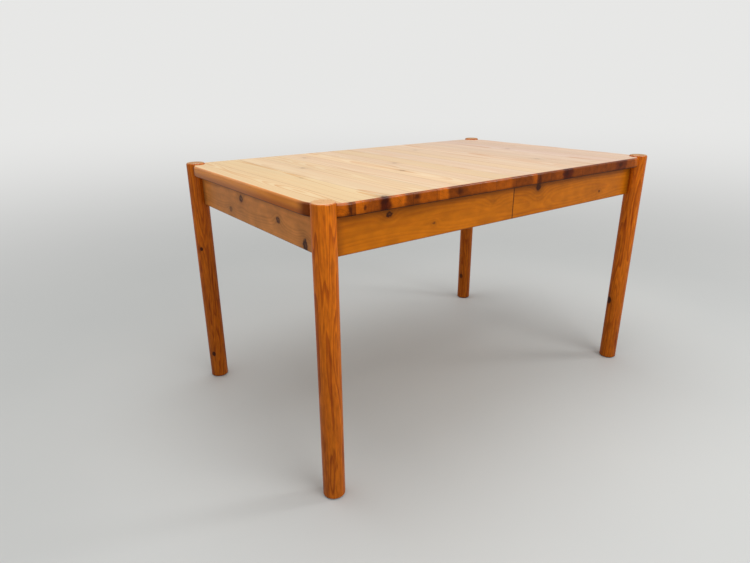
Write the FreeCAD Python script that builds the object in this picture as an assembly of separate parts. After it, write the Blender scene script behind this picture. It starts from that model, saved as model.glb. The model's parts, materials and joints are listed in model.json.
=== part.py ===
import FreeCAD, Part
import math
import os

# An extending dining table in solid pine: two halves on round corner posts, drawn apart on
# dovetailed telescopic slides, with a loose leaf stored under the top.
# X runs along the length, Y across it and Z up; the origin is on the floor at the middle.

# Corner posts
post_spacing_x = 1210.0
post_spacing_y = 750.0
post_radius = 27.5
post_proud = 5.0
post_top_round = 5.0
post_foot_chamfer = 4.0

# Top panels
top_height = 730.0
top_thickness = 30.0
top_overhang = 23.0
top_corner_radius = 80.0
top_upper_round = 6.0
top_lower_round = 4.0
top_notch_clearance = 0.5
half_gap = 0.1

# Aprons
apron_height = 92.0
apron_thickness = 22.0
apron_setback = 6.0
apron_edge_round = 2.0

# Corner blocks and the hanger bolts that draw the posts to them
block_leg = 60.0
block_clip = 12.0
block_height = 70.0
bolt_radius = 4.0
bolt_embed = 20.0
bolt_tail = 3.0
bolt_level_shares = (0.25, 0.75)
bolt_hole_clearance = 0.5
washer_radius = 9.0
washer_thickness = 2.0
nut_width = 13.0
nut_height = 6.5

# Cleats that hold the top to the aprons
cleat_width = 15.0
cleat_height = 18.0
cleat_split_margin = 80.0
cleat_block_margin = 7.0
cleat_screw_shares = (0.15, 0.85)

# Screws: shank, head, how far they enter the wood above
screw_radius = 2.25
screw_head_radius = 4.2
screw_head_height = 3.0
screw_tip = 4.5
screw_bite = 16.0
screw_clearance = 0.1
counterbore_clearance = 0.3
cleat_counterbore = 6.0

# Telescopic slides: three members a side, joined by dovetails
slide_cleat_gap = 2.0
slide_thickness = 20.0
slide_height = 42.0
slide_face_gap = 1.0
slide_block_gap = 37.0
slide_stagger = 40.0
slide_middle_setback = 30.0
slide_middle_drop = 1.0
slide_counterbore = 20.0
slide_screw_shares = (0.12, 0.5, 0.88)
packer_thickness = 2.0
packer_split_margin = 10.0
tongue_depth = 8.0
tongue_root_height = 12.0
tongue_tip_height = 18.0
tongue_clearance = 0.4

# Stop pins in the middle members, running in slots of the members beside them
pin_radius = 3.0
pin_reach = 4.0
pin_embed = 10.0
pin_place_share = 0.2
pin_slot_depth = 5.0
pin_slot_clearance = 0.5

# The leaf, as wide as the space between the slides leaves it, and the bearers it is stored on
leaf_slide_gap = 18.0
leaf_play = 2.0
bearer_place_share = 0.75
bearer_width = 45.0
bearer_height = 24.0
bearer_counterbore = 10.0
bearer_edge_round = 3.0

# Alignment dowels between the halves, and in the leaf
dowel_radius = 5.0
dowel_reach = 14.0
dowel_embed = 20.0
dowel_tip_chamfer = 1.5
dowel_spacing = 300.0
dowel_count = 3
dowel_clearance = 0.4
dowel_end_clearance = 1.0

# Hook catches on the inner faces of the long aprons, parked past upright
hook_length = 44.0
hook_width = 12.0
hook_thickness = 3.0
hook_tip = 9.0
hook_slot_clearance = 0.8
hook_rise = 20.0
hook_swing_angle = 110.0
hook_stop_arm = 30.0
hook_stop_radius = 2.5
hook_stop_gap = 0.3
pivot_radius = 3.0
pivot_clearance = 0.05
pivot_head_radius = 5.5
pivot_head_height = 3.0
pivot_embed = 14.0
pivot_end_play = 0.3
spacer_radius = 6.5
spacer_thickness = 1.2
stud_radius = 3.0
stud_head_radius = 4.6

# One overrun for every cut, and how near a level an edge's ends lie to be picked
overrun = 10.0
pick_tolerance = 0.01
full_turn = 360.0
nut_sides = 6

# Places that follow from the sizes above
post_x = post_spacing_x / 2
post_y = post_spacing_y / 2
top_under = top_height - top_thickness
apron_bottom = top_under - apron_height
apron_outer_y = post_y - apron_setback
apron_inner_y = apron_outer_y - apron_thickness
apron_outer_x = post_x - apron_setback
apron_inner_x = apron_outer_x - apron_thickness
half_edge = half_gap / 2
block_bottom = apron_bottom + (apron_height - block_height) / 2
block_face = (post_x - apron_inner_x + post_y - apron_inner_y + block_leg) / math.sqrt(2)
slide_reach = apron_inner_x - block_leg - slide_block_gap
slide_middle_reach = slide_reach - slide_middle_setback
slide_inner_face = apron_inner_y - cleat_width - slide_cleat_gap - 3 * slide_thickness - 2 * slide_face_gap
leaf_width = 2 * (slide_inner_face - leaf_slide_gap)
extension_travel = leaf_width + 2 * dowel_reach + leaf_play
pin_offset = slide_reach * pin_place_share
slide_top = top_under - packer_thickness
slide_bottom = slide_top - slide_height
slide_middle = (slide_top + slide_bottom) / 2
middle_inner_face = slide_inner_face + slide_thickness + slide_face_gap
middle_outer_face = middle_inner_face + slide_thickness
outer_inner_face = middle_outer_face + slide_face_gap
outer_outer_face = outer_inner_face + slide_thickness
leaf_length = post_spacing_y + 2 * top_overhang
bearer_x = leaf_length / 2 * bearer_place_share
bearer_top = slide_bottom - slide_middle_drop
leaf_bottom = bearer_top
dowel_level = top_height - top_thickness / 2
leaf_dowel_level = leaf_bottom + top_thickness / 2
hook_height = apron_bottom + hook_rise
hook_pivot_x = -half_edge - hook_length / 2
stud_x = hook_pivot_x + hook_length
hook_face = apron_inner_y - spacer_thickness


def vec(x, y, z):
    return FreeCAD.Vector(x, y, z)


def prism(points, along):
    """A closed outline of points, drawn out along a vector."""
    wire = Part.makePolygon(points + points[:1])
    return Part.Face(wire).extrude(along)


def mirrored(shape, side_x, side_y):
    """The piece of the +X +Y corner, carried to another corner."""
    if side_x < 0:
        shape = shape.mirror(vec(0, 0, 0), vec(1, 0, 0))
    if side_y < 0:
        shape = shape.mirror(vec(0, 0, 0), vec(0, 1, 0))
    return shape


def turned(points, axis_x, axis_y):
    """A solid of revolution from (radius, height) points, on an upright axis."""
    profile = [vec(r, 0, z) for r, z in points]
    wire = Part.makePolygon(profile + profile[:1])
    solid = Part.Face(wire).revolve(vec(0, 0, 0), vec(0, 0, 1), full_turn)
    solid.translate(vec(axis_x, axis_y, 0))
    return solid


def screw(x, y, seat, length):
    """A wood screw driven upwards, with the underside of its head at the seat."""
    points = [(0, seat - screw_head_height), (screw_head_radius, seat - screw_head_height),
              (screw_head_radius, seat), (screw_radius, seat),
              (screw_radius, seat + length - screw_tip), (0, seat + length)]
    return turned(points, x, y)


def screw_hole(x, y, seat, length):
    """The hole that a screw's shank fills."""
    return Part.makeCylinder(screw_radius + screw_clearance, length + screw_clearance, vec(x, y, seat))


def counterbore(x, y, low, seat):
    """The pocket below a screw's seat."""
    radius = screw_head_radius + counterbore_clearance
    return Part.makeCylinder(radius, seat - low + overrun, vec(x, y, low - overrun))


def edges_at(shape, level):
    """The edges of a shape that lie level at one height."""
    return [edge for edge in shape.Edges if all(abs(v.Z - level) < pick_tolerance for v in edge.Vertexes)]


def runs_across(edge):
    """Whether a straight edge keeps one X, and so runs along Y."""
    return abs(edge.Vertexes[0].X - edge.Vertexes[-1].X) < pick_tolerance


def along_diagonal(distance, z):
    """A point on the line from the +X +Y post's axis towards the middle of the table."""
    step = distance / math.sqrt(2)
    return vec(post_x - step, post_y - step, z)


def bolt_levels():
    return [block_bottom + block_height * share for share in bolt_level_shares]


def bolt_axis_cylinder(radius, start, end, z):
    inward = vec(-1, -1, 0)
    return Part.makeCylinder(radius, end - start, along_diagonal(start, z), inward)


def bolt_clearance_holes():
    radius = bolt_radius + bolt_hole_clearance
    start = post_radius - bolt_radius
    holes = [bolt_axis_cylinder(radius, start, block_face + overrun, z) for z in bolt_levels()]
    return Part.makeCompound(holes)


def post():
    """A turned corner post: chamfered foot, rounded head that stands proud of the top."""
    head = top_height + post_proud
    shoulder = head - post_top_round
    rim = post_radius - post_top_round
    half_way = post_top_round * math.sqrt(0.5)
    arc_middle = vec(rim + half_way, 0, shoulder + half_way)
    corners = [vec(rim, 0, head), vec(0, 0, head), vec(0, 0, 0),
               vec(post_radius - post_foot_chamfer, 0, 0),
               vec(post_radius, 0, post_foot_chamfer), vec(post_radius, 0, shoulder)]
    edges = [Part.makeLine(a, b) for a, b in zip(corners[:-1], corners[1:])]
    edges.append(Part.Arc(corners[-1], arc_middle, corners[0]).toShape())
    solid = Part.Face(Part.Wire(edges)).revolve(vec(0, 0, 0), vec(0, 0, 1), full_turn)
    solid.translate(vec(post_x, post_y, 0))
    start = post_radius - bolt_embed
    for z in bolt_levels():
        hole = bolt_axis_cylinder(bolt_radius + screw_clearance, start, post_radius + overrun, z)
        solid = solid.cut(hole)
    return solid


def panel_outline(low):
    """The right half of the top in plan: square at the split, rounded at the two corners."""
    end = post_x + top_overhang
    side = post_y + top_overhang
    inset = top_corner_radius * (1 - math.sqrt(0.5))
    straight_x = end - top_corner_radius
    straight_y = side - top_corner_radius
    front = [vec(straight_x, -side, low), vec(end - inset, inset - side, low), vec(end, -straight_y, low)]
    back = [vec(end, straight_y, low), vec(end - inset, side - inset, low), vec(straight_x, side, low)]
    split = [vec(half_edge, -side, low), vec(half_edge, side, low)]
    edges = [Part.makeLine(split[0], front[0]),
             Part.Arc(*front).toShape(),
             Part.makeLine(front[-1], back[0]),
             Part.Arc(*back).toShape(),
             Part.makeLine(back[-1], split[1]),
             Part.makeLine(split[1], split[0])]
    return Part.Wire(edges)


def panel():
    """The right half of the top: eased edges, and a round notch for each post."""
    solid = Part.Face(panel_outline(top_under)).extrude(vec(0, 0, top_thickness))

    def rim(level):
        far = half_edge + pick_tolerance
        return [e for e in edges_at(solid, level) if any(v.X > far for v in e.Vertexes)]

    solid = solid.makeFillet(top_upper_round, rim(top_height))
    solid = solid.makeFillet(top_lower_round, rim(top_under))
    for side in (-1, 1):
        base = vec(post_x, side * post_y, top_under - overrun)
        notch = Part.makeCylinder(post_radius + top_notch_clearance, top_thickness + 2 * overrun, base)
        solid = solid.cut(notch)
    return solid


def dowel_offsets():
    middle = (dowel_count - 1) / 2
    return [(k - middle) * dowel_spacing for k in range(dowel_count)]


def dowel(base, direction):
    """A wooden dowel with a chamfered tip, from its hidden end to its free end."""
    length = dowel_embed + dowel_reach
    points = [(0, 0), (dowel_radius, 0), (dowel_radius, length - dowel_tip_chamfer),
              (dowel_radius - dowel_tip_chamfer, length), (0, length)]
    solid = turned(points, 0, 0)
    solid.Placement = FreeCAD.Placement(base, FreeCAD.Rotation(vec(0, 0, 1), direction))
    return solid


def dowel_socket(mouth, inward):
    depth = dowel_reach + dowel_end_clearance
    return Part.makeCylinder(dowel_radius + dowel_clearance, depth, mouth, inward)


def dowel_hole(mouth, inward):
    return Part.makeCylinder(dowel_radius, dowel_embed, mouth, inward)


def corner_wedge(for_side_apron):
    """The part of a post's corner that a mitred apron leaves to its neighbour."""
    reach = post_x - apron_inner_x + overrun
    far = vec(post_x - reach, post_y - reach, apron_bottom - overrun)
    tip = vec(post_x, post_y, apron_bottom - overrun)
    if for_side_apron:
        third = vec(post_x + reach, post_y - reach, apron_bottom - overrun)
    else:
        third = vec(post_x - reach, post_y + reach, apron_bottom - overrun)
    return prism([tip, far, third], vec(0, 0, apron_height + 2 * overrun))


def post_cylinder():
    base = vec(post_x, post_y, apron_bottom - overrun)
    return Part.makeCylinder(post_radius, apron_height + 2 * overrun, base)


def eased_board(length, width, base):
    """An apron board with its two lower long edges rounded."""
    solid = Part.makeBox(length, width, apron_height, base)
    low = edges_at(solid, base.z)
    return solid.makeFillet(apron_edge_round, [e for e in low if runs_across(e) == (width > length)])


def side_apron():
    """One of four half-length aprons: square at the split, coped and mitred at the post."""
    board = eased_board(post_x - half_edge, apron_thickness, vec(half_edge, apron_inner_y, apron_bottom))
    board = board.cut(corner_wedge(True))
    board = board.cut(post_cylinder())
    return board.cut(bolt_clearance_holes())


def end_apron():
    """The right end apron, coped and mitred at both posts."""
    board = eased_board(apron_thickness, post_spacing_y, vec(apron_inner_x, -post_y, apron_bottom))
    for side in (-1, 1):
        for tool in (corner_wedge(False), post_cylinder(), bolt_clearance_holes()):
            board = board.cut(mirrored(tool, 1, side))
    return board


def corner_block():
    """A glued block across the corner, clipped where the two aprons meet."""
    points = [vec(apron_inner_x - block_clip, apron_inner_y, block_bottom),
              vec(apron_inner_x - block_leg, apron_inner_y, block_bottom),
              vec(apron_inner_x, apron_inner_y - block_leg, block_bottom),
              vec(apron_inner_x, apron_inner_y - block_clip, block_bottom)]
    return prism(points, vec(0, 0, block_height)).cut(bolt_clearance_holes())


def hanger_bolts():
    end = block_face + washer_thickness + nut_height + bolt_tail
    start = post_radius - bolt_embed
    return [bolt_axis_cylinder(bolt_radius, start, end, z) for z in bolt_levels()]


def washers():
    solids = []
    end = block_face + washer_thickness
    for z in bolt_levels():
        disc = bolt_axis_cylinder(washer_radius, block_face, end, z)
        hole = bolt_axis_cylinder(bolt_radius + screw_clearance, block_face, end, z)
        solids.append(disc.cut(hole))
    return solids


def nuts():
    """Hexagon nuts on the washers, bored to the bolt."""
    solids = []
    corner = nut_width / math.sqrt(3)
    end = block_face + washer_thickness + nut_height
    for z in bolt_levels():
        turns = [math.radians(full_turn * k / nut_sides) for k in range(nut_sides)]
        ring = [vec(corner * math.cos(turn), corner * math.sin(turn), 0) for turn in turns]
        solid = prism(ring, vec(0, 0, nut_height))
        inward = FreeCAD.Rotation(vec(0, 0, 1), vec(-1, -1, 0))
        solid.Placement = FreeCAD.Placement(along_diagonal(block_face + washer_thickness, z), inward)
        hole = bolt_axis_cylinder(bolt_radius + screw_clearance, block_face, end, z)
        solids.append(solid.cut(hole))
    return solids


def side_cleat_span():
    start = half_edge + cleat_split_margin
    end = apron_inner_x - block_leg - cleat_block_margin
    return start, end


def end_cleat_reach():
    return apron_inner_y - block_leg - cleat_block_margin


def cleat_screw_places():
    """Where the cleats of the right half are screwed: along both sides and across the end."""
    start, end = side_cleat_span()
    reach = end_cleat_reach()
    places = []
    for share in cleat_screw_shares:
        x = start + (end - start) * share
        places += [(x, side * (apron_inner_y - cleat_width / 2)) for side in (-1, 1)]
        places.append((apron_inner_x - cleat_width / 2, reach * (2 * share - 1)))
    return places


def cleat_screw_seat():
    return top_under - cleat_height + cleat_counterbore


def cleat_screw_length():
    return top_under - cleat_screw_seat() + screw_bite


def cleats():
    """Strips along the top of the right half's aprons: two side cleats and an end cleat."""
    start, end = side_cleat_span()
    reach = end_cleat_reach()
    low = top_under - cleat_height
    back_base = vec(start, apron_inner_y - cleat_width, low)
    back = Part.makeBox(end - start, cleat_width, cleat_height, back_base)
    end_base = vec(apron_inner_x - cleat_width, -reach, low)
    strips = [back, mirrored(back, 1, -1), Part.makeBox(cleat_width, 2 * reach, cleat_height, end_base)]
    seat = cleat_screw_seat()
    for x, y in cleat_screw_places():
        hole = screw_hole(x, y, seat, cleat_screw_length())
        strips = [strip.cut(counterbore(x, y, low, seat)).cut(hole) for strip in strips]
    return strips


def tongue_half(depth):
    """Half the dovetail's height at a depth from the middle member's face."""
    rise = (tongue_tip_height - tongue_root_height) / 2
    return tongue_root_height / 2 + rise * depth / tongue_depth


def grooved_profile(face, outward):
    """Section of a member with a dovetail groove in its face; outward points away from the groove."""
    back = face + outward * slide_thickness
    bottom = face + outward * (tongue_depth - slide_face_gap + tongue_clearance)
    mouth = tongue_half(slide_face_gap) + tongue_clearance
    deep = tongue_half(tongue_depth) + 2 * tongue_clearance
    return [(face, slide_bottom), (back, slide_bottom), (back, slide_top), (face, slide_top),
            (face, slide_middle + mouth), (bottom, slide_middle + deep),
            (bottom, slide_middle - deep), (face, slide_middle - mouth)]


def tongued_profile():
    """Section of the middle member, with a dovetail tongue on each face."""
    low = slide_bottom - slide_middle_drop
    root = tongue_half(0)
    tip = tongue_half(tongue_depth)
    inner_tip = middle_inner_face - tongue_depth
    outer_tip = middle_outer_face + tongue_depth
    return [(middle_inner_face, low), (middle_outer_face, low),
            (middle_outer_face, slide_middle - root), (outer_tip, slide_middle - tip),
            (outer_tip, slide_middle + tip), (middle_outer_face, slide_middle + root),
            (middle_outer_face, slide_top), (middle_inner_face, slide_top),
            (middle_inner_face, slide_middle + root), (inner_tip, slide_middle + tip),
            (inner_tip, slide_middle - tip), (middle_inner_face, slide_middle - root)]


def member(profile, start, end):
    points = [vec(start, y, z) for y, z in profile]
    return prism(points, vec(end - start, 0, 0))


def pin_slot(start, face, outward):
    """The slot that a stop pin runs in: half the travel long, beyond the groove's floor."""
    half = pin_radius + pin_slot_clearance
    floor = face + outward * (tongue_depth - slide_face_gap + tongue_clearance)
    low = min(floor - outward * overrun / 2, floor + outward * pin_slot_depth)
    deep = pin_slot_depth + overrun / 2
    length = extension_travel / 2
    body = Part.makeBox(length, deep, 2 * half, vec(start, low, slide_middle - half))
    ends = [vec(x, low, slide_middle) for x in (start, start + length)]
    return body.fuse([Part.makeCylinder(half, deep, end, vec(0, 1, 0)) for end in ends])


def slide_screw_seat():
    return slide_bottom + slide_counterbore


def slide_screw_length():
    return top_under - slide_screw_seat() + screw_bite


def slide_screw_places(outer):
    """Screw places on a fixed member of the +Y side, with the right member's X mirrored for the left."""
    groove = tongue_depth - slide_face_gap + tongue_clearance
    if outer:
        y = (outer_inner_face + groove + outer_outer_face) / 2
    else:
        y = (slide_inner_face + slide_inner_face + slide_thickness - groove) / 2
    side = -1 if outer else 1
    return [(side * slide_reach * share, y) for share in slide_screw_shares]


def fixed_member(outer):
    """The outer member hangs from the left half, the inner one from the right half."""
    if outer:
        profile = grooved_profile(outer_inner_face, 1)
        solid = member(profile, -slide_reach, slide_reach - slide_stagger)
        solid = solid.cut(pin_slot(pin_offset, outer_inner_face, 1))
    else:
        profile = grooved_profile(slide_inner_face + slide_thickness, -1)
        solid = member(profile, slide_stagger - slide_reach, slide_reach)
        slot_start = -pin_offset - extension_travel / 2
        solid = solid.cut(pin_slot(slot_start, slide_inner_face + slide_thickness, -1))
    seat = slide_screw_seat()
    for x, y in slide_screw_places(outer):
        solid = solid.cut(counterbore(x, y, slide_bottom, seat))
        solid = solid.cut(screw_hole(x, y, seat, slide_screw_length()))
    return solid


def packer(outer):
    """A thin strip that keeps a fixed member clear of the other half's top."""
    face = outer_inner_face if outer else slide_inner_face
    start = -slide_reach if outer else packer_split_margin
    length = slide_reach - packer_split_margin
    solid = Part.makeBox(length, slide_thickness, packer_thickness, vec(start, face, slide_top))
    seat = slide_screw_seat()
    for x, y in slide_screw_places(outer):
        solid = solid.cut(screw_hole(x, y, seat, slide_screw_length()))
    return solid


def stop_pin_places():
    """Each stop pin's X, its tongue tip and the way it points."""
    outer = (pin_offset, middle_outer_face + tongue_depth, 1)
    inner = (-pin_offset, middle_inner_face - tongue_depth, -1)
    return [outer, inner]


def stop_pins():
    pins = []
    for x, tip, outward in stop_pin_places():
        base = vec(x, tip - outward * pin_embed, slide_middle)
        pins.append(Part.makeCylinder(pin_radius, pin_embed + pin_reach, base, vec(0, outward, 0)))
    return pins


def bearer_screw_seat():
    return bearer_top - bearer_height + bearer_counterbore


def bearer_screw_length():
    return bearer_top - bearer_screw_seat() + screw_bite


def bearer_screw_places():
    y = (middle_inner_face + middle_outer_face) / 2
    return [(side_x * bearer_x, side_y * y) for side_x in (-1, 1) for side_y in (-1, 1)]


def middle_member():
    """The sliding member between the two fixed ones, drilled for its pins and for the bearers."""
    solid = member(tongued_profile(), -slide_middle_reach, slide_middle_reach)
    for pin in stop_pins():
        solid = solid.cut(pin)
    for x, y in bearer_screw_places():
        solid = solid.cut(screw_hole(x, y, bearer_screw_seat(), bearer_screw_length()))
    return solid


def bearer(side):
    """A cross bar under the middle members, its lower edges rounded."""
    edge_x = side * bearer_x - bearer_width / 2
    base = vec(edge_x, -middle_outer_face, bearer_top - bearer_height)
    solid = Part.makeBox(bearer_width, 2 * middle_outer_face, bearer_height, base)
    low = edges_at(solid, base.z)
    solid = solid.makeFillet(bearer_edge_round, [e for e in low if runs_across(e)])
    seat = bearer_screw_seat()
    for x, y in bearer_screw_places():
        solid = solid.cut(counterbore(x, y, base.z, seat))
        solid = solid.cut(screw_hole(x, y, seat, bearer_screw_length()))
    return solid


def extension_leaf():
    """The loose leaf, stored turned a quarter: its ends are eased like the top's long edges."""
    base = vec(-leaf_length / 2, -leaf_width / 2, leaf_bottom)
    solid = Part.makeBox(leaf_length, leaf_width, top_thickness, base)
    for level, radius in ((leaf_bottom + top_thickness, top_upper_round), (leaf_bottom, top_lower_round)):
        solid = solid.makeFillet(radius, [e for e in edges_at(solid, level) if runs_across(e)])
    for x in dowel_offsets():
        solid = solid.cut(dowel_socket(vec(x, leaf_width / 2, leaf_dowel_level), vec(0, -1, 0)))
        solid = solid.cut(dowel_hole(vec(x, -leaf_width / 2, leaf_dowel_level), vec(0, 1, 0)))
    return solid


def leaf_dowels():
    start = dowel_embed - leaf_width / 2
    return [dowel(vec(x, start, leaf_dowel_level), vec(0, -1, 0)) for x in dowel_offsets()]


def top_dowels():
    start = half_edge + dowel_embed
    return [dowel(vec(start, y, dowel_level), vec(-1, 0, 0)) for y in dowel_offsets()]


def across(x, z, radius, start, end):
    """A round bar along Y on the +Y side, from the apron side inwards."""
    return Part.makeCylinder(radius, start - end, vec(x, start, z), vec(0, -1, 0))


def hook_parked():
    """The catch hook on the +Y side: a bar with an eye and a slot that drops over the stud."""
    thick = hook_face - pivot_end_play / 2
    thin = thick - hook_thickness
    half = hook_width / 2
    slot = stud_radius + hook_slot_clearance
    eye = across(hook_pivot_x, hook_height, half, thick, thin)
    base = vec(hook_pivot_x, thin, hook_height - half)
    bar = Part.makeBox(hook_length + hook_tip - half, hook_thickness, hook_width, base)
    tip = across(hook_pivot_x + hook_length + hook_tip - half, hook_height, half, thick, thin)
    solid = eye.fuse([bar, tip]).removeSplitter()
    catch = across(stud_x, hook_height, slot, thick + overrun, thin - overrun)
    mouth_base = vec(stud_x - slot, thin - overrun, hook_height - hook_width)
    mouth = Part.makeBox(2 * slot, hook_thickness + 2 * overrun, hook_width, mouth_base)
    bore = pivot_radius + pivot_clearance
    hole = across(hook_pivot_x, hook_height, bore, thick + overrun, thin - overrun)
    solid = solid.cut(catch).cut(mouth).cut(hole)
    solid.rotate(vec(hook_pivot_x, 0, hook_height), vec(0, 1, 0), -hook_swing_angle)
    return solid


def pivot_screw():
    """A shouldered screw that the hook turns on."""
    head = hook_face - hook_thickness - pivot_end_play
    shank = across(hook_pivot_x, hook_height, pivot_radius, apron_inner_y + pivot_embed, head)
    cap = across(hook_pivot_x, hook_height, pivot_head_radius, head, head - pivot_head_height)
    return shank.fuse(cap)


def pivot_spacer():
    ring = across(hook_pivot_x, hook_height, spacer_radius, apron_inner_y, hook_face)
    hole = across(hook_pivot_x, hook_height, pivot_radius + screw_clearance, apron_inner_y, hook_face)
    return ring.cut(hole)


def hook_stop():
    """The pin that the parked hook leans on."""
    swing = math.radians(hook_swing_angle)
    rise = hook_width / 2 + hook_stop_radius + hook_stop_gap
    x = hook_pivot_x + hook_stop_arm * math.cos(swing) - rise * math.sin(swing)
    z = hook_height + hook_stop_arm * math.sin(swing) + rise * math.cos(swing)
    return across(x, z, hook_stop_radius, apron_inner_y + pivot_embed, hook_face - hook_thickness)


def stud():
    """The headed stud on the right half that the hook drops over."""
    head = hook_face - hook_thickness - pivot_end_play
    shank = across(stud_x, hook_height, stud_radius, apron_inner_y + pivot_embed, head)
    cap = across(stud_x, hook_height, stud_head_radius, head, head - pivot_head_height)
    return shank.fuse(cap)


def half_top(side):
    """One half of the top, drilled for its screws and for the dowels of the split edge."""
    solid = mirrored(panel(), side, 1)
    for x, y in cleat_screw_places():
        solid = solid.cut(screw_hole(side * x, y, cleat_screw_seat(), cleat_screw_length()))
    for x, y in slide_screw_places(side < 0):
        for row in (-1, 1):
            solid = solid.cut(screw_hole(x, row * y, slide_screw_seat(), slide_screw_length()))
    for y in dowel_offsets():
        mouth = vec(side * half_edge, y, dowel_level)
        inward = vec(side, 0, 0)
        solid = solid.cut(dowel_hole(mouth, inward) if side > 0 else dowel_socket(mouth, inward))
    return solid


def half_screws(side):
    """The screws of one half's cleats, and those of its slide members."""
    cleat = [screw(side * x, y, cleat_screw_seat(), cleat_screw_length()) for x, y in cleat_screw_places()]
    slide = [screw(x, row * y, slide_screw_seat(), slide_screw_length())
             for x, y in slide_screw_places(side < 0) for row in (-1, 1)]
    return cleat, slide


def build():
    nodes = {}
    rows = {"front": -1, "back": 1}
    halves = {"left": -1, "right": 1}
    quarter = {"leg": post(), "corner_block": corner_block()}
    apron = side_apron()
    catch_left = [pivot_screw(), hook_stop()]
    catch_right = [stud()]
    for half, side in halves.items():
        nodes[half + "_top"] = half_top(side)
        nodes[half + "_end_apron"] = mirrored(end_apron(), side, 1)
        for row, side_y in rows.items():
            for name, shape in quarter.items():
                nodes["%s_%s_%s" % (row, half, name)] = mirrored(shape, side, side_y)
            board = mirrored(apron, side, 1)
            for fitting in catch_left if side < 0 else catch_right:
                board = board.cut(fitting)
            nodes["%s_%s_apron" % (row, half)] = mirrored(board, 1, side_y)
            nodes["%s_%s_slide" % (row, half)] = mirrored(fixed_member(side < 0), 1, side_y)
        for name, make in (("leg_bolts", hanger_bolts), ("leg_washers", washers), ("leg_nuts", nuts)):
            solids = [mirrored(s, side, side_y) for s in make() for side_y in (-1, 1)]
            nodes["%s_%s" % (half, name)] = Part.makeCompound(solids)
        cleat_set, slide_set = half_screws(side)
        nodes[half + "_top_cleats"] = mirrored(Part.makeCompound(cleats()), side, 1)
        nodes[half + "_cleat_screws"] = Part.makeCompound(cleat_set)
        nodes[half + "_slide_screws"] = Part.makeCompound(slide_set)
        strips = [mirrored(packer(side < 0), 1, side_y) for side_y in (-1, 1)]
        nodes[half + "_slide_packers"] = Part.makeCompound(strips)
        nodes[half + "_leaf_bearer"] = bearer(side)
    for row, side_y in rows.items():
        nodes[row + "_middle_slide"] = mirrored(middle_member(), 1, side_y)
        nodes[row + "_catch_hook"] = mirrored(hook_parked(), 1, side_y)
    pairs = {"catch_pivot_screws": pivot_screw(), "catch_spacers": pivot_spacer(),
             "catch_stop_pins": hook_stop(), "catch_studs": stud()}
    for name, shape in pairs.items():
        nodes[name] = Part.makeCompound([mirrored(shape, 1, side_y) for side_y in (-1, 1)])
    pins = [mirrored(pin, 1, side_y) for pin in stop_pins() for side_y in (-1, 1)]
    nodes["slide_stop_pins"] = Part.makeCompound(pins)
    seat = bearer_screw_seat()
    screws = [screw(x, y, seat, bearer_screw_length()) for x, y in bearer_screw_places()]
    nodes["bearer_screws"] = Part.makeCompound(screws)
    nodes["extension_leaf"] = extension_leaf()
    nodes["leaf_dowels"] = Part.makeCompound(leaf_dowels())
    nodes["top_dowels"] = Part.makeCompound(top_dowels())
    return nodes


os.makedirs("parts", exist_ok=True)
for node, solid in build().items():
    solid.exportStep("parts/%s.step" % node)
    print(node, len(solid.Solids), round(solid.Volume), solid.isValid())
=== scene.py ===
import json
import math

import bpy
from mathutils import Matrix, Vector

# An extending dining table in varnished knotty pine, on a plain pale floor.
# Lengths are metres: X along the table, Y across it, Z up. Colours are sRGB, from 0 to 255.
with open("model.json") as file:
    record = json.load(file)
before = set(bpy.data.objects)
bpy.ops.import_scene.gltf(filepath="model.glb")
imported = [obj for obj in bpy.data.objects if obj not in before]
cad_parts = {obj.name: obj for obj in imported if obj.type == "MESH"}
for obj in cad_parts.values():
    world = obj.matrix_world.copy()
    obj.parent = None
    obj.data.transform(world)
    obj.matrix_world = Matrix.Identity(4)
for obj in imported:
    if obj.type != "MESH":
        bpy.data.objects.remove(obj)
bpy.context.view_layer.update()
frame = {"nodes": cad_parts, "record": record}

# The CAD model's measures: the posts' axes, the panels' upper faces, and how far their boards reach
POST_X, POST_Y = 0.605, 0.375
TOP_Z, LEAF_Z = 0.730, 0.685
TOP_REACH, LEAF_REACH = 0.63, 0.25
# What all shaders share
COAT_ROUGHNESS, BUMP_STRENGTH = 0.12, 0.5


def linear(colour):
    """An sRGB colour from 0 to 255, as the shader takes it."""
    parts = [c / 255 for c in colour]
    return [p / 12.92 if p <= 0.04045 else ((p + 0.055) / 1.055) ** 2.4 for p in parts] + [1.0]


class Val:
    """A number, vector or colour in a material's graph. Arithmetic with it adds nodes."""

    def __init__(self, graph, socket):
        self.graph, self.socket = graph, socket

    def __add__(self, other):
        return self.graph.math("ADD", self, other)

    def __sub__(self, other):
        return self.graph.math("SUBTRACT", self, other)

    def __rsub__(self, other):
        return self.graph.math("SUBTRACT", other, self)

    def __mul__(self, other):
        return self.graph.math("MULTIPLY", self, other)

    def __truediv__(self, other):
        return self.graph.math("DIVIDE", self, other)

    def __abs__(self):
        return self.graph.math("ABSOLUTE", self)

    def __gt__(self, other):
        return self.graph.math("GREATER_THAN", self, other)

    __radd__ = __add__


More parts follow.
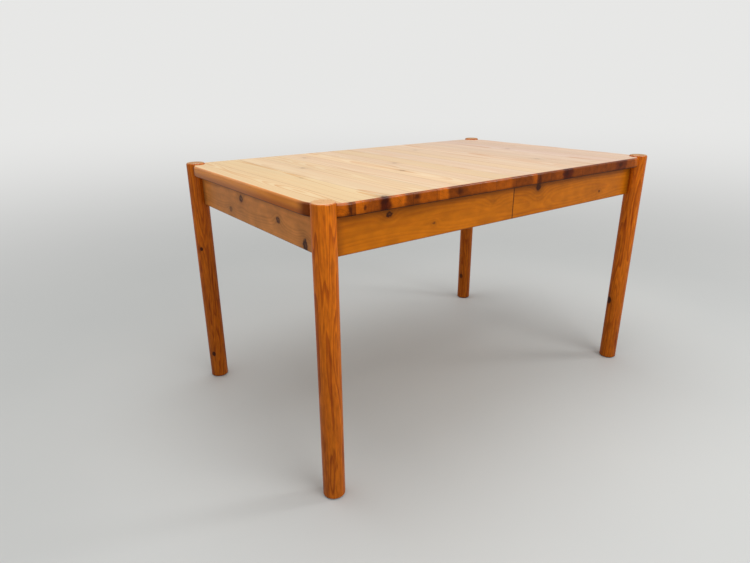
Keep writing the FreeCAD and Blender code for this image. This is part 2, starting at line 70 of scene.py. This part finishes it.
class Graph:
    """A material, and short ways to add nodes to it."""

    def __init__(self, name):
        self.material = bpy.data.materials.new(name)
        self.material.use_nodes = True
        self.tree = self.material.node_tree
        self.shader = self.tree.nodes["Principled BSDF"]
        place = self.node("ShaderNodeTexCoord")
        self.x, self.y, self.z = self.parts(place.outputs["Object"])
        self.nx, self.ny, self.nz = self.parts(place.outputs["Normal"])

    def node(self, kind, **settings):
        node = self.tree.nodes.new(kind)
        for key, value in settings.items():
            setattr(node, key, value)
        return node

    def put(self, socket, value):
        """Links a value to a socket, or sets it there. A tuple is a colour."""
        if isinstance(value, Val):
            value = value.socket
        if isinstance(value, bpy.types.NodeSocket):
            self.tree.links.new(value, socket)
        else:
            socket.default_value = linear(value) if isinstance(value, tuple) else value

    def parts(self, socket):
        node = self.node("ShaderNodeSeparateXYZ")
        self.put(node.inputs[0], socket)
        return [Val(self, out) for out in node.outputs]

    def vector(self, x, y, z):
        node = self.node("ShaderNodeCombineXYZ")
        for socket, value in zip(node.inputs, (x, y, z)):
            self.put(socket, value)
        return Val(self, node.outputs[0])

    def math(self, operation, *values):
        node = self.node("ShaderNodeMath", operation=operation)
        for socket, value in zip(node.inputs, values):
            self.put(socket, value)
        return Val(self, node.outputs[0])

    def length(self, *sides):
        squares = [side * side for side in sides]
        return self.math("SQRT", sum(squares[1:], squares[0]))

    def most(self, values):
        """The largest of some values, or None if there are none."""
        largest = None
        for value in values:
            largest = value if largest is None else self.math("MAXIMUM", largest, value)
        return largest

    def step(self, value, low, high):
        """0 below low, 1 above high, and smooth between them."""
        node = self.node("ShaderNodeMapRange", interpolation_type="SMOOTHSTEP")
        for socket, number in zip(node.inputs, (value, low, high, 0.0, 1.0)):
            self.put(socket, number)
        return Val(self, node.outputs[0])

    def noise(self, x, y, z, detail=2.0, roughness=0.5):
        """Cloudy noise from 0 to 1, about one bump for each unit of its place."""
        node = self.node("ShaderNodeTexNoise")
        self.put(node.inputs["Vector"], self.vector(x, y, z))
        for key, value in (("Scale", 1.0), ("Detail", detail), ("Roughness", roughness)):
            node.inputs[key].default_value = value
        return Val(self, node.outputs["Fac"])

    def cloud(self, bumps, seed=0.0, detail=3.0):
        """Noise with as many bumps to the metre every way."""
        return self.noise(self.x * bumps, self.y * bumps, self.z * bumps + seed, detail)

    def grain(self, place, along_bumps, cross_bumps, seed=0.0, detail=2.0, roughness=0.5):
        """Noise drawn out along the grain, with so many bumps to the metre along and across it."""
        along, across, depth = place
        return self.noise(along * along_bumps, across * cross_bumps, depth * cross_bumps + seed,
                          detail, roughness)

    def random(self, seed):
        """Three random numbers from 0 to 1 for each seed."""
        node = self.node("ShaderNodeTexWhiteNoise", noise_dimensions="1D")
        self.put(node.inputs["W"], seed)
        return self.parts(node.outputs["Color"])

    def mix(self, share, a, b, blend="MIX"):
        """Colour a, with a share of colour b laid over it."""
        node = self.node("ShaderNodeMix", data_type="RGBA", blend_type=blend)
        for key, value in ((0, share), (6, a), (7, b)):
            self.put(node.inputs[key], value)
        return Val(self, node.outputs[2])

    def shade(self, colour, tone):
        """The colour, darker or lighter by a factor."""
        return self.mix(1.0, colour, self.vector(tone, tone, tone), "MULTIPLY")

    def finish(self, colour, roughness, height=None, depth=0.0002, coat=0.0, metallic=0.0,
               specular=0.5):
        """Sets the shader. The height from 0 to 1 is a bump of that depth."""
        self.put(self.shader.inputs["Base Color"], colour)
        self.put(self.shader.inputs["Roughness"], roughness)
        self.put(self.shader.inputs["Coat Weight"], coat)
        self.shader.inputs["Specular IOR Level"].default_value = specular
        self.shader.inputs["Metallic"].default_value = metallic
        self.shader.inputs["Coat Roughness"].default_value = COAT_ROUGHNESS
        if height is not None:
            bump = self.node("ShaderNodeBump")
            bump.inputs["Strength"].default_value = BUMP_STRENGTH
            bump.inputs["Distance"].default_value = depth
            self.put(bump.inputs["Height"], height)
            self.put(self.shader.inputs["Normal"], bump.outputs[0])
        return self.material


# Pine: its figure, its colour and its varnish.
# A place in the wood is (along the grain, across it, depth).
# Two numbers for one thing are where its blend starts and ends.

WOBBLE = 0.0035  # how far small waves carry the rings aside
KNOT_PUSH = 2.0  # how many rings a knot pushes aside
KNOT_BROWN = (58, 24, 12)
KNOT_CORE, KNOT_EYE = (0.5, 1.1), (0.1, 0.5)  # in sizes of the knot, from its middle
MOST_COVER = 0.96
STREAK = (0.42, 0.72)
# How far a rounding's normal looks up, and the gloss there
ROUNDING_LOW, ROUNDING_HIGH, ROUNDING_COAT = (0.2, 0.4), (0.9, 0.98), 0.8


def late_wood(g, rings, seed, rise, fall, least):
    """Late wood from 0 to 1: it grows through each year's ring, more in some, and ends sharply."""
    turn = g.math("FRACT", rings)
    year = g.random(g.math("FLOOR", rings) + seed * 13.0)[0]
    late = g.step(turn, *rise) * (1.0 - g.step(turn, *fall))
    return late * (least + year * (1.0 - least))


def branches(g, along, across, seed, knots):
    """How near each knot is, and the cover of all knots, from 0 to 1.

    A knot is (along, across, length, width, darkness). It shows as a dark ragged ring in a halo,
    round a paler eye. Past a darkness of 1, the eye fills in.
    """
    torn = g.noise(along * 160.0, across * 160.0, seed * 2.9, detail=3.0) - 0.5
    nears, shades = [], []
    for k_along, k_across, length, width, darkness in knots:
        far = g.length((along - k_along) / length, (across - k_across) / width)
        near = g.math("EXPONENT", far * far * -0.2)
        ragged = far + torn * 1.1
        core = 1.0 - g.step(ragged, *KNOT_CORE)
        eye = 1.0 - g.step(ragged, *KNOT_EYE)
        nears.append(near)
        shades.append((near * 0.3 + core * 0.75 - eye * 0.3) * darkness)
    return nears, g.most(shades)


def fine_fibre(g, place, seed):
    return g.grain(place, 14.0, 900.0, seed, detail=3.0)


def figure(g, place, seed, ring, wander, knots=()):
    """The figure of a board: rings round a wandering pith, and knots that push them aside.

    Returns how far each point is into late wood, the fine fibre and the cover of the knots, each
    from 0 to 1. The cover is None without knots.
    """
    along, across, depth = place
    drift = g.noise(along * 1.6, seed * 7.1 + 3.0, across * 0.5) - 0.5
    sway = g.noise(along * 1.2, seed * 5.3 + 9.0, depth * 0.5) - 0.5
    wobble = g.grain(place, 9.0, 24.0, seed * 3.7) - 0.5
    from_pith = g.length(across + drift * (2 * wander) + wobble * WOBBLE,
                         depth + sway * (2 * wander))
    rings, cover = from_pith / ring, None
    if knots:
        nears, cover = branches(g, along, across, seed, knots)
        for near in nears:
            rings = rings + near * KNOT_PUSH
    late = late_wood(g, rings, seed, rise=(0.2, 0.86), fall=(0.88, 1.0), least=0.15)
    return late, fine_fibre(g, place, seed), cover


def wood(g, place, seed, early_colour, late_colour, late, fibre, cover=None, contrast=0.4,
         streaks=0.4):
    """Pine's colour from its figure: early and late wood, streaks, drifts of tone and knots."""
    drifts = g.grain(place, 3.0, 14.0, seed * 3.1, detail=4.0)
    streak = g.grain(place, 2.4, 110.0, seed * 1.7, detail=4.0, roughness=0.6)
    lateness = late * contrast + g.step(streak, *STREAK) * streaks
    colour = g.mix(lateness, early_colour, late_colour)
    colour = g.shade(colour, 0.76 + drifts * 0.34 + fibre * 0.14)
    if cover is not None:
        colour = g.mix(g.math("MINIMUM", cover, MOST_COVER), colour, KNOT_BROWN)
    return colour


def varnish(g, colour, late, fibre, seed, coat=0.06, specular=0.07):
    """A thin satin film, rippled and smeared, and glossy on roundings that face up."""
    ripple = g.cloud(30.0, seed, detail=1.0)
    smear = g.cloud(7.0, seed)
    height = late * 0.25 + fibre * 0.2 + ripple * 0.6
    rounding = g.step(g.nz, *ROUNDING_LOW) * (1.0 - g.step(g.nz, *ROUNDING_HIGH))
    return g.finish(colour, 0.3 + smear * 0.16, height, coat=rounding * ROUNDING_COAT + coat,
                    specular=specular)


# The top and the leaf: panels of edge-glued boards

# Where the boards are glued
BOARD_SEAMS = [-0.550, -0.460, -0.382, -0.310, -0.236, -0.166, -0.106, -0.029, 0.060, 0.118, 0.190,
               0.264, 0.338, 0.412, 0.486, 0.560]
LEAF_SEAMS = [-0.176, -0.094, -0.020, 0.058, 0.142]
GLUE_LINE = (0.0003, 0.0015)
PANEL_RING = 0.0042
FACE_HONEY, FACE_ROSE, FACE_LATE = (232, 203, 157), (221, 195, 177), (226, 176, 120)
FACE_KNOT, FACE_GLUE = (70, 32, 18), (120, 66, 30)
TOP_KNOTS = [(0.006, -0.114, 0.011, 0.008, 0.5), (-0.126, -0.193, 0.013, 0.008, 0.55),
             (0.228, 0.158, 0.012, 0.008, 0.4), (0.093, -0.387, 0.011, 0.008, 0.5),
             (-0.060, -0.479, 0.009, 0.006, 0.35), (-0.390, -0.458, 0.012, 0.010, 1.0),
             (0.290, -0.270, 0.010, 0.007, 0.5), (-0.205, 0.300, 0.012, 0.008, 0.45),
             (0.040, 0.446, 0.011, 0.008, 0.45)]
LEAF_KNOTS = [(0.210, 0.110, 0.011, 0.008, 0.5), (-0.130, -0.060, 0.012, 0.008, 0.6),
              (-0.290, 0.190, 0.009, 0.006, 0.4)]
# The tones of the end grain, and where each patch of one tone starts along the long edges
END_TONES = {"amber": (192, 96, 8), "orange": (166, 80, 6), "russet": (148, 70, 8),
             "brown": (128, 59, 6), "umber": (108, 44, 6), "dark": (86, 29, 5)}
END_PATCHES = [(-0.700, "brown"), (-0.596, "amber"), (-0.562, "brown"), (-0.539, "amber"),
               (-0.516, "russet"), (-0.475, "dark"), (-0.446, "amber"), (-0.405, "brown"),
               (-0.357, "orange"), (-0.301, "amber"), (-0.272, "brown"), (-0.206, "russet"),
               (-0.141, "orange"), (-0.047, "brown"), (0.038, "orange"), (0.056, "brown"),
               (0.142, "russet"), (0.170, "dark"), (0.217, "brown"), (0.439, "umber"),
               (0.502, "russet"), (0.548, "amber")]
# A patch that starts this near to a seam has a sharp edge, and the others have ragged ones
AT_A_SEAM = 0.012
SHARP_EDGE, RAGGED_EDGE = 0.001, 0.008
# Knots in the end grain: x, z, length and width
END_KNOTS = [(-0.592, 0.711, 0.008, 0.020), (-0.557, 0.714, 0.006, 0.016),
             (-0.514, 0.714, 0.007, 0.009), (-0.462, 0.722, 0.012, 0.011),
             (-0.370, 0.720, 0.013, 0.008), (-0.234, 0.716, 0.014, 0.011),
             (0.068, 0.712, 0.011, 0.022), (0.190, 0.717, 0.015, 0.013),
             (0.468, 0.718, 0.014, 0.011)]
END_KNOT, END_GLUE = (56, 19, 7), (48, 18, 8)
END_KNOT_CORE = (0.5, 1.3)
# The edges along the grain: lower half, upper half lightened by a painted highlight, late wood,
# dark front corner, and a back paler by a painted reflection
SIDE_LOWER, SIDE_UPPER_PAINTED_HIGHLIGHT, SIDE_LATE = (178, 96, 34), (234, 142, 46), (172, 90, 30)
SIDE_CORNER, SIDE_PAINTED_REFLECTION = (104, 38, 6), (255, 220, 180)
# Painted shade along the lower rounding of the top's rim
RIM_SHADE = (46, 20, 8)
# Where the tones of the edges change: depths below the face, for the painted highlight on the long
# edges and the painted shade on the end grain, and places along the grain, for the dark front
# corner and the painted reflection at the back
SIDE_HIGHLIGHT_DEPTHS, END_SHADE_DEPTHS = (0.024, 0.008), (0.029, 0.020)
FRONT_CORNER, BACK_REFLECTION_PART = (0.296, 0.330), (-0.2, 0.0)
# How far a normal looks sideways or down where the face gives way to the edges
TO_SIDE, TO_END, TO_RIM, TO_UNDER_RIM = (0.05, 0.35), (0.03, 0.2), (0.1, 0.4), (0.1, 0.6)


def boards(g, x, seams, reach):
    """The number of the board at each point, its middle, and the distance to the nearest glue."""
    ends = [-reach] + seams + [reach]
    middles = [(a + b) / 2 for a, b in zip(ends[:-1], ends[1:])]
    index, middle, near = 0.0, middles[0], 1.0
    for k, seam in enumerate(seams):
        beyond = x > seam
        index = beyond + index
        middle = beyond * (middles[k + 1] - middles[k]) + middle
        near = g.math("MINIMUM", abs(x - seam), near)
    return index, middle, near


def panel_face(g, across, along, level, seams, reach, knots):
    """A panel's face, honey at one end and rosier at the other. Each board has its own pith."""
    index, middle, near = boards(g, across, seams, reach)
    chance = g.random(index + 11.0)
    local = across - middle
    depth = g.z - level + (chance[1] * 0.07 + 0.012)
    cut = (along + chance[2] * 4.0, local + (chance[0] - 0.5) * 0.09, depth)
    late, fibre, _ = figure(g, cut, index, PANEL_RING, wander=0.03)
    rosy = g.step(across, -0.9, 0.9) + (chance[0] - 0.5) * 0.36
    tint = g.mix(rosy, FACE_HONEY, FACE_ROSE)
    face = g.mix(late * 0.62, tint, g.mix(1.0, tint, FACE_LATE, "MULTIPLY"))
    cloud = g.noise(along * 2.0 + index, local * 30.0, chance[0] * 9.0, detail=3.0)
    face = g.shade(face, (cloud * 0.2 + fibre * 0.08 + 0.86) * (0.96 + chance[1] * 0.07))
    cover = branches(g, along, across, index, knots)[1]
    face = g.mix(cover * 0.8, face, FACE_KNOT)
    glue = (1.0 - g.step(near, *GLUE_LINE)) * 0.45
    return g.mix(glue, face, FACE_GLUE), late, fibre, glue


def end_grain(g, across, late, glue, level):
    """Patches of cloudy end grain with open pores, and painted shade towards the lower edge."""
    ragged = across + (g.noise(across * 50.0, g.z * 70.0, g.y, detail=3.0) - 0.5) * 0.024
    end = END_TONES[END_PATCHES[0][1]]
    for start, tone in END_PATCHES[1:]:
        if min(abs(start - seam) for seam in BOARD_SEAMS) < AT_A_SEAM:
            edge = g.step(across, start - SHARP_EDGE, start + SHARP_EDGE)
        else:
            edge = g.step(ragged, start - RAGGED_EDGE, start + RAGGED_EDGE)
        end = g.mix(edge, end, END_TONES[tone])
    cloud = 0.2 + g.noise(across * 75.0, g.z * 75.0, g.y, detail=4.0) * 0.9 - late * 0.25
    pores = g.noise(across * 420.0, g.z * 420.0, g.y * 420.0, detail=3.0, roughness=0.65)
    # Painted shade: the end grain darkens towards the lower edge
    lit = 0.6 + g.step(g.z, *(level - depth for depth in END_SHADE_DEPTHS)) * 0.4
    end = g.shade(end, (cloud + pores * 0.7) * lit)
    for x, z, length, width in END_KNOTS:
        far = g.length((ragged - x) / length, (g.z - level + TOP_Z - z) / width) + pores * 0.5
        end = g.mix((1.0 - g.step(far, *END_KNOT_CORE)) * 0.75, end, END_KNOT)
    return g.mix(glue * 1.2, end, END_GLUE)


def panel_material(name, turned, level, seams, reach, knots):
    """A half of the top, whose boards run along Y, or the stored leaf, turned a quarter."""
    g = Graph(name)
    across, along = (g.y, g.x) if turned else (g.x, g.y)
    across_normal, along_normal = (g.ny, g.nx) if turned else (g.nx, g.ny)
    colour, late, fibre, glue = panel_face(g, across, along, level, seams, reach, knots)
    # Painted highlight: the upper part of the long edges is lighter
    high = g.step(g.z, *(level - depth for depth in SIDE_HIGHLIGHT_DEPTHS))
    side = g.mix(late * 0.4, g.mix(high, SIDE_LOWER, SIDE_UPPER_PAINTED_HIGHLIGHT), SIDE_LATE)
    side = g.mix(g.step(along * -1.0, *FRONT_CORNER) * 0.6, side, SIDE_CORNER)
    # Painted reflection: the long edges grow paler towards the back
    side = g.mix(g.step(along, *BACK_REFLECTION_PART) * 0.08, side, SIDE_PAINTED_REFLECTION)
    colour = g.mix(g.step(abs(across_normal), *TO_SIDE), colour, side)
    end = end_grain(g, across, late, glue, level)
    colour = g.mix(g.step(abs(along_normal), *TO_END), colour, end)
    rim = g.step(abs(g.nx) + abs(g.ny), *TO_RIM)
    # Painted shade on the lower rounding, where it faces down
    shade_under_rim = g.step(g.nz * -1.0, *TO_UNDER_RIM) * rim
    colour = g.mix(shade_under_rim * 0.85, colour, RIM_SHADE)
    return varnish(g, colour, late, fibre, 1.0, coat=g.step(g.nz, 0.5, 0.9) * 0.1, specular=0.06)


# The aprons: boards on edge, whose knots are (along, z, length, width, darkness)

LONG_EARLY, LONG_LATE = (197, 110, 6), (152, 70, 3)
# The first colour is painted shade for the aprons, under the top, beside the posts and along the
# lower arris; the second is the dark split line
APRON_PAINTED_SHADE, APRON_SPLIT = (84, 42, 12), (50, 22, 8)
SAWN_EARLY, SAWN_LATE = (176, 108, 44), (112, 58, 20)
SHADOW_UNDER_TOP, SHADE_ON_LOWER_ARRIS = (0.676, 0.693), (0.6085, 0.6118)  # the levels between which they darken
SHADE_BESIDE_POST = (0.060, 0.030)  # and the distances from a post's axis
SPLIT_LINE = (0.0008, 0.0026)
TO_SAWN, TO_UNDERSIDE = (0.5, 0.9), (0.8, 0.95)
APRON_RING = 0.0048
# For each apron's node: where its heart lies, on the side and in height, its seed, its early and
# late wood, and its knots
APRONS = {
    "front_left_apron": (-0.340, 0.650, 2.0, LONG_EARLY, LONG_LATE, [
        (-0.428, 0.682, 0.011, 0.008, 1.0), (-0.290, 0.641, 0.006, 0.004, 0.7),
        (-0.082, 0.668, 0.016, 0.008, 0.25)]),
    "front_right_apron": (-0.340, 0.655, 5.0, LONG_EARLY, LONG_LATE, [
        (0.412, 0.637, 0.006, 0.004, 0.9), (0.114, 0.656, 0.022, 0.012, 0.2),
        (0.104, 0.684, 0.012, 0.011, 1.5)]),
    "back_left_apron": (0.335, 0.652, 8.0, LONG_EARLY, LONG_LATE, [
        (-0.200, 0.664, 0.011, 0.008, 0.9), (-0.470, 0.640, 0.008, 0.006, 0.8)]),
    "back_right_apron": (0.335, 0.648, 11.0, LONG_EARLY, LONG_LATE, [
        (0.310, 0.650, 0.012, 0.009, 0.9), (0.130, 0.676, 0.006, 0.004, 0.7)]),
    "left_end_apron": (-0.570, 0.655, 14.0, (216, 138, 65), (172, 98, 40), [
        (0.060, 0.671, 0.013, 0.012, 0.9), (0.138, 0.630, 0.012, 0.009, 0.7),
        (-0.153, 0.653, 0.012, 0.010, 0.9), (-0.281, 0.618, 0.012, 0.020, 1.1)]),
    "right_end_apron": (0.565, 0.652, 17.0, (200, 128, 62), (164, 92, 38), [
        (-0.090, 0.662, 0.010, 0.008, 0.9), (0.210, 0.640, 0.008, 0.006, 0.9)]),
}


def apron_material(name, runs_x, heart_side, heart_z, seed, early_colour, late_colour, knots):
    """Grain along the apron, painted shade under the top, by the posts and on the lower arris, and
    sawn across where the table opens.
    """
    g = Graph(name)
    along, side, reach = (g.x, g.y, POST_X) if runs_x else (g.y, g.x, POST_Y)
    place = (along, g.z - heart_z, side - heart_side)
    late, fibre, cover = figure(g, place, seed, APRON_RING, wander=0.035,
                                knots=[(k[0], k[1] - heart_z) + k[2:] for k in knots])
    colour = wood(g, place, seed, early_colour, late_colour, late, fibre, cover,
                  contrast=0.33, streaks=0.27)
    mottle = g.grain(place, 26.0, 48.0, seed, detail=4.0)
    colour = g.shade(colour, 0.67 + mottle * 0.62)
    # Painted shade: the shadow under the top's overhang, and shade beside the posts and along the
    # lower arris
    shadow_under_top = g.step(g.z, *SHADOW_UNDER_TOP)
    shade_beside_post = g.step(abs(along), *(reach - distance for distance in SHADE_BESIDE_POST))
    shade_on_arris = (1.0 - g.step(g.z, *SHADE_ON_LOWER_ARRIS)) * (1.0 - g.step(g.nz * -1.0, *TO_UNDERSIDE))
    colour = g.mix(g.most([shadow_under_top * 0.5, shade_beside_post * 0.45, shade_on_arris * 0.6]), colour, APRON_PAINTED_SHADE)
    if runs_x:
        sawn = g.step(abs(g.nx), *TO_SAWN)
        colour = g.mix(sawn, colour, g.mix(late * 0.6 + fibre * 0.3, SAWN_EARLY, SAWN_LATE))
        split = (1.0 - g.step(abs(along), *SPLIT_LINE)) * (1.0 - sawn)
        colour = g.mix(split * 0.9, colour, APRON_SPLIT)
    return varnish(g, colour, late, fibre, seed)


# The posts, whose knots are (place, size, darkness)

LEG_KNOTS = [((-0.6246, 0.3557, 0.465), 0.006, 1.0), ((-0.625, 0.3562, 0.089), 0.008, 0.9),
             ((0.578, 0.370, 0.110), 0.010, 0.8), ((0.628, -0.390, 0.300), 0.007, 0.8),
             ((0.580, -0.3635, 0.224), 0.012, 1.0), ((-0.590, -0.352, 0.210), 0.008, 0.8),
             ((0.600, 0.402, 0.520), 0.007, 0.8)]
LEG_EARLY, LEG_LATE, LEG_FLECK = (224, 118, 18), (144, 50, 3), (112, 42, 6)
# The heads' end grain; the near post's head is paler by a painted sheen
HEAD, NEAR_HEAD_PAINTED_SHEEN, HEAD_LATE = (188, 140, 92), (222, 172, 120), (150, 84, 36)
# The foot chamfers' colour is painted shade; the feet themselves are bare end grain
FOOT_CHAMFER_PAINTED_SHADE, FOOT_EARLY, FOOT_LATE = (52, 22, 8), (196, 140, 84), (128, 74, 34)
LEG_KNOT_CORE, FLECK = (0.6, 1.1), (0.5, 0.75)
# How far a normal looks up at the head, and down at the chamfer and the foot
TO_HEAD, TO_CHAMFER, TO_FOOT = (0.55, 0.95), (0.2, 0.5), (0.8, 0.95)


def leg_material():
    """Turned pine with a flame figure, a seed for each post, and ends that are bare; painted shade
    darkens the posts towards the floor, the back posts and the foot chamfers, the right posts are a
    little darker, and a painted sheen lightens the near post's head.
    """
    g = Graph("pine_posts")
    right = g.x > 0.0
    back = g.y > 0.0
    seed = right * 2.0 + back + 1.0
    axis_x = g.x - (right * (2 * POST_X) - POST_X)
    axis_y = g.y - (back * (2 * POST_Y) - POST_Y)
    place = (g.z + seed * 2.3, axis_x, axis_y)
    flames = g.grain(place, 2.8, 34.0, seed * 5.0, detail=1.0) * 11.0
    flames = flames + g.grain(place, 26.0, 190.0, seed) * 0.5
    late = late_wood(g, flames, seed, rise=(0.15, 0.8), fall=(0.84, 1.0), least=0.3)
    fibre = fine_fibre(g, place, seed)
    spots = []
    for (x, y, z), size, darkness in LEG_KNOTS:
        far = g.length((g.x - x) / size, (g.y - y) / size, (g.z - z) / (1.3 * size))
        halo = g.math("EXPONENT", far * far * -0.3)
        spots.append(((1.0 - g.step(far, *LEG_KNOT_CORE)) * 0.9 + halo * 0.12) * darkness)
    colour = wood(g, place, seed, LEG_EARLY, LEG_LATE, late, fibre, g.most(spots), contrast=0.62)
    lines = g.grain(place, 3.5, 420.0, seed * 2.0)
    mottle = g.grain(place, 40.0, 200.0, seed * 4.0)
    # Painted shade: darker towards the floor and on the back posts; the right posts are a little
    # darker too
    tone = 0.21 + g.step(g.z, 0.0, 0.7) * 0.26 + lines * 0.36 + mottle * 0.6
    colour = g.shade(colour, tone * (1.0 - back * 0.12 - right * 0.05))
    fleck = g.grain(place, 18.0, 170.0, detail=4.0, roughness=0.6)
    colour = g.mix(g.step(fleck, *FLECK) * 0.4, colour, LEG_FLECK)
    # Painted sheen: the near post's head is paler than the others
    near = (1.0 - right) * (1.0 - back)
    head = g.mix(late * 0.4, g.mix(near, HEAD, NEAR_HEAD_PAINTED_SHEEN), HEAD_LATE)
    colour = g.mix(g.step(g.nz, *TO_HEAD), colour, head)
    below = g.nz * -1.0
    # Painted shade on the foot chamfers
    colour = g.mix(g.step(below, *TO_CHAMFER) * 0.8, colour, FOOT_CHAMFER_PAINTED_SHADE)
    foot = g.mix(late * 0.6 + fibre * 0.2, FOOT_EARLY, FOOT_LATE)
    colour = g.mix(g.step(below, *TO_FOOT), colour, foot)
    return varnish(g, colour, late, fibre, 3.0)


# The works under the table

SLIDE_LEVEL = 0.62
STEEL_DULL, STEEL_BRIGHT = (150, 148, 140), (196, 194, 186)


def plain_wood(name, runs, seed, early_colour, late_colour, ring, roughness):
    """Bare or waxed wood, with the grain along X or Y."""
    g = Graph(name)
    along, across = (g.x, g.y) if runs == "x" else (g.y, g.x)
    late, fibre, _ = figure(g, (along, across + 0.013, g.z - SLIDE_LEVEL), seed, ring, wander=0.02)
    colour = wood(g, (along, across, g.z), seed, early_colour, late_colour, late, fibre)
    return g.finish(colour, roughness, late * 0.3 + fibre, depth=0.0003)


def steel_material():
    """Zinc-plated steel, cloudy and finely scratched."""
    g = Graph("zinc_steel")
    cloud = g.cloud(300.0)
    scratch = g.noise(g.x * 2500.0, g.y * 900.0, g.z * 2500.0)
    colour = g.mix(cloud, STEEL_DULL, STEEL_BRIGHT)
    return g.finish(colour, 0.28 + cloud * 0.2, scratch, depth=0.00005, metallic=1.0)


def dress(names, material):
    for name in names:
        slots = frame["nodes"][name].data.materials
        slots.clear()
        slots.append(material)


dress(["left_top", "right_top"],
      panel_material("pine_top", False, TOP_Z, BOARD_SEAMS, TOP_REACH, TOP_KNOTS))
dress(["extension_leaf"],
      panel_material("pine_leaf", True, LEAF_Z, LEAF_SEAMS, LEAF_REACH, LEAF_KNOTS))
dress(["front_left_leg", "front_right_leg", "back_left_leg", "back_right_leg"], leg_material())
for node, values in APRONS.items():
    dress([node], apron_material("pine_" + node.removesuffix("_apron"), "end" not in node, *values))
beech_x = plain_wood("beech_slides", "x", 20.0, (206, 164, 114), (176, 128, 82), 0.0030, 0.5)
beech_y = plain_wood("beech_bearers", "y", 23.0, (208, 166, 116), (178, 130, 84), 0.0030, 0.5)
bare = plain_wood("bare_pine", "x", 26.0, (222, 180, 122), (190, 134, 78), 0.0040, 0.6)
steel = steel_material()
for item in frame["record"]["subparts"]:
    node, kind = item["node"], item["material_slot"]
    if kind == "steel":
        dress([node], steel)
    elif kind == "slides":
        dress([node], beech_y if "bearer" in node else beech_x)
    elif kind in ("inner_wood", "dowels"):
        dress([node], bare)


# The studio

BACKDROP = (0.80, 0.80, 0.79, 1.0)  # linear, for the room and for the floor far away
FLOOR_DARK, FLOOR_LIGHT = (204, 206, 205), (211, 212, 210)
FLOOR_REACH = 60.0
FLOOR_FADE = (0.06, 0.42)  # in 1 / (1 + the distance from the middle)
CONTACT = 0.0005  # a shorter ray starts on the floor
ROOM_LIGHT = 0.5  # what the room sheds on the table, as a share of what it shows
CAMERA_PLACE = (-1.1729, -1.3195, 0.9616)
YAW, PITCH, ROLL = (math.radians(a) for a in (36.49, 20.07, 0.39))
SENSOR, LENS = 36.0, 26.08  # millimetres


def stage_floor():
    """A pale floor that fades into the room.

    It is clear from below, so that the underside shows, and for rays that start on it, so that
    light reaches the feet's undersides.
    """
    mesh = bpy.data.meshes.new("floor")
    r = FLOOR_REACH
    mesh.from_pydata([(-r, -r, 0), (r, -r, 0), (r, r, 0), (-r, r, 0)], [], [(0, 1, 2, 3)])
    floor = bpy.data.objects.new("floor", mesh)
    bpy.context.scene.collection.objects.link(floor)
    g = Graph("floor")
    cloud = g.noise(g.x * 1.3, g.y * 1.3, 0.0, detail=4.0)
    g.finish(g.mix(cloud, FLOOR_DARK, FLOOR_LIGHT), 0.5, specular=0.3)
    glow = g.node("ShaderNodeEmission")
    glow.inputs["Color"].default_value = BACKDROP
    nearness = g.math("DIVIDE", 1.0, g.length(g.x, g.y) + 1.0)
    fade = g.node("ShaderNodeMixShader")
    g.put(fade.inputs[0], 1.0 - g.step(nearness, *FLOOR_FADE))
    g.put(fade.inputs[1], g.shader.outputs[0])
    g.put(fade.inputs[2], glow.outputs[0])
    from_below = Val(g, g.node("ShaderNodeNewGeometry").outputs["Backfacing"])
    length = Val(g, g.node("ShaderNodeLightPath").outputs["Ray Length"])
    clear = g.node("ShaderNodeMixShader")
    g.put(clear.inputs[0], g.most([from_below, g.math("LESS_THAN", length, CONTACT)]))
    g.put(clear.inputs[1], fade.outputs[0])
    g.put(clear.inputs[2], g.node("ShaderNodeBsdfTransparent").outputs[0])
    g.put(g.tree.nodes["Material Output"].inputs["Surface"], clear.outputs[0])
    mesh.materials.append(g.material)


def lamp(name, place, target, width, height, power):
    """A soft oval lamp that points at its target. Its power is in watts."""
    data = bpy.data.lights.new(name, "AREA")
    data.shape, data.size, data.size_y, data.energy = "ELLIPSE", width, height, power
    light = bpy.data.objects.new(name, data)
    light.location = place
    light.rotation_euler = (Vector(target) - Vector(place)).to_track_quat("-Z", "Y").to_euler()
    bpy.context.scene.collection.objects.link(light)


def camera():
    """The photograph's viewpoint: a wide lens a little above the near left corner."""
    level = math.cos(PITCH)
    forward = Vector((math.sin(YAW) * level, math.cos(YAW) * level, -math.sin(PITCH)))
    flat = forward.cross(Vector((0, 0, 1))).normalized()
    low = forward.cross(flat)
    right = flat * math.cos(ROLL) + low * math.sin(ROLL)
    down = low * math.cos(ROLL) - flat * math.sin(ROLL)
    data = bpy.data.cameras.new("camera")
    data.sensor_width, data.lens = SENSOR, LENS
    view = bpy.data.objects.new("camera", data)
    turn = Matrix((right, -down, -forward)).transposed().to_4x4()
    view.matrix_world = Matrix.Translation(CAMERA_PLACE) @ turn
    bpy.context.scene.collection.objects.link(view)
    bpy.context.scene.camera = view


def studio():
    """A bright even room that sheds less light than it shows, so that lamps model the form."""
    world = bpy.data.worlds.new("studio")
    world.use_nodes = True
    tree = world.node_tree
    room = tree.nodes["Background"]
    room.inputs["Color"].default_value = BACKDROP
    path = tree.nodes.new("ShaderNodeLightPath")
    hold = tree.nodes.new("ShaderNodeMath")
    hold.operation = "MULTIPLY_ADD"
    tree.links.new(path.outputs["Is Camera Ray"], hold.inputs[0])
    hold.inputs[1].default_value = 1.0 - ROOM_LIGHT
    hold.inputs[2].default_value = ROOM_LIGHT
    tree.links.new(hold.outputs[0], room.inputs["Strength"])
    bpy.context.scene.world = world


studio()
bpy.context.scene.view_settings.view_transform = "Standard"
stage_floor()
lamp("key", (0.2, -3.1, 2.7), (0, -0.2, 0.5), 2.8, 2.8, 53)
lamp("overhead", (-0.3, 0.3, 3.2), (0, 0, 0.6), 2.6, 2.6, 48)
lamp("edge", (2.0, -1.4, 3.0), (-0.2, -0.4, 0.73), 0.5, 2.2, 16)
camera()
